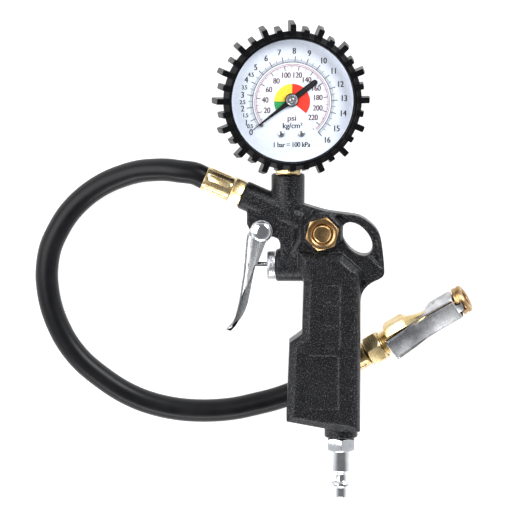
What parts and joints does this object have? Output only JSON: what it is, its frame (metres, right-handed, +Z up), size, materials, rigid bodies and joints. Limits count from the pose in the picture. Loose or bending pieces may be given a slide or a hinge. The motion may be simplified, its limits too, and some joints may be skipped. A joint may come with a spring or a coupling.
{
  "type": "tyre inflator gun with dial gauge",
  "caption": "Hand tyre inflator gun with a dial pressure gauge in a lugged rubber boot, trigger valve, bleed button, quick plug, stiff hose and clip-on chuck.",
  "frame": {"origin": "on the bench, under the middle of the gun's own box without the hose and chuck", "axes": "+Y from the grip towards the gauge, +X towards the hang hole, +Z up, out of the dial"},
  "size_m": [0.2338, 0.2566, 0.0434],
  "materials": {
    "casting": "fine-textured black powder coat over die-cast aluminium",
    "boot_rubber": "semi-matte moulded rubber",
    "case_black": "satin black enamel",
    "lens": "clear, slightly reflective",
    "dial": "printed cool white",
    "steel": "bright steel",
    "brass": "bright turned brass",
    "bronze": "bright turned brass of a warmer colour",
    "pointer_black": "matte black",
    "nickel": "satin nickel plate",
    "seal_rubber": "matte",
    "chrome": "bright plate",
    "hose_rubber": "smooth semi-matte rubber"
  },
  "bodies": {
    "gun": {"gun_body": "casting", "gauge_boot": "boot_rubber", "gauge_case": "case_black", "lens_ring": "case_black", "gauge_lens": "lens", "dial_plate": "dial", "dial_screw_left": "steel", "dial_screw_right": "steel", "zero_stop_pin": "steel", "bourdon_tube": "brass", "movement_back_plate": "brass", "movement_front_plate": "brass", "movement_pillar_right": "brass", "movement_pillar_top": "brass", "movement_pillar_low": "brass", "hairspring": "bronze", "gauge_stem": "brass", "valve_gland_nut": "nickel", "valve_rod_seal": "seal_rubber", "valve_seat": "brass", "valve_spring": "steel", "bleed_gland": "bronze", "bleed_spring": "steel", "bleed_seal": "seal_rubber", "inlet_plug": "chrome", "trigger_pin": "chrome", "pin_clip": "steel", "hose_fitting": "brass", "hose_ferrule_gun": "brass", "hose": "hose_rubber", "hose_ferrule_chuck": "brass", "hose_tail": "brass", "swivel_nut": "brass", "chuck_body": "brass", "chuck_nose": "bronze", "chuck_seal": "seal_rubber", "chuck_depressor": "brass", "clip_pin": "steel", "clip_spring": "steel"},
    "trigger": {"trigger_lever": "chrome"},
    "valve_stem": {"push_rod": "chrome", "valve_poppet": "brass"},
    "bleed": {"bleed_button": "bronze"},
    "sector": {"sector_gear": "brass"},
    "link": {"movement_link": "brass"},
    "needle": {"pointer_arbor": "steel", "pointer": "pointer_black", "pointer_cap": "steel"},
    "clip": {"chuck_clip": "nickel"}
  },
  "joints": [
    {"name": "trigger_pull", "type": "hinge", "parent": "gun", "child": "trigger", "pos_m": [-0.01723, 0.01598, 0.02341], "axis": [0, 0.0471, 0.9989], "range_deg": [0, 12], "stiffness_Nm_per_rad": 1.5, "springref_deg": -8.59},
    {"name": "valve_push", "type": "slide", "parent": "gun", "child": "valve_stem", "axis": [1, 0, 0], "range_m": [0, 0.004], "deforming": ["valve_spring"]},
    {"name": "bleed_press", "type": "slide", "parent": "gun", "child": "bleed", "axis": [0, -0.0471, -0.9989], "range_m": [0, 0.0012], "stiffness_N_per_m": 1200, "springref_m": -0.001, "deforming": ["bleed_spring"]},
    {"name": "sector_swing", "type": "hinge", "parent": "gun", "child": "sector", "pos_m": [-0.01564, 0.07886, 0.02199], "axis": [0.1219, 0.0468, 0.9914], "range_deg": [0, 29.6], "stiffness_Nm_per_rad": 0.02, "springref_deg": -2.86},
    {"name": "pointer_spin", "type": "hinge", "parent": "gun", "child": "needle", "pos_m": [-0.00253, 0.0859, 0.02004], "axis": [0.1219, 0.0468, 0.9914], "range_deg": [-267, 0], "deforming": ["hairspring"]},
    {"name": "link_turn", "type": "hinge", "parent": "sector", "child": "link", "pos_m": [-0.01667, 0.08476, 0.02183], "axis": [0.1219, 0.0468, 0.9914], "range_deg": [-29.6, 0]},
    {"name": "clip_open", "type": "hinge", "parent": "gun", "child": "clip", "pos_m": [0.07794, -0.02945, 0.01249], "axis": [0.5217, -0.7961, -0.3068], "range_deg": [0, 4], "stiffness_Nm_per_rad": 0.4, "springref_deg": -5.73, "deforming": ["clip_spring"]}
  ],
  "couplings": [
    {"joint": "valve_push", "follows": "trigger_pull", "m_per_rad": 0.0187},
    {"joint": "pointer_spin", "follows": "sector_swing", "ratio": -9},
    {"joint": "link_turn", "follows": "sector_swing", "ratio": -1}
  ]
}
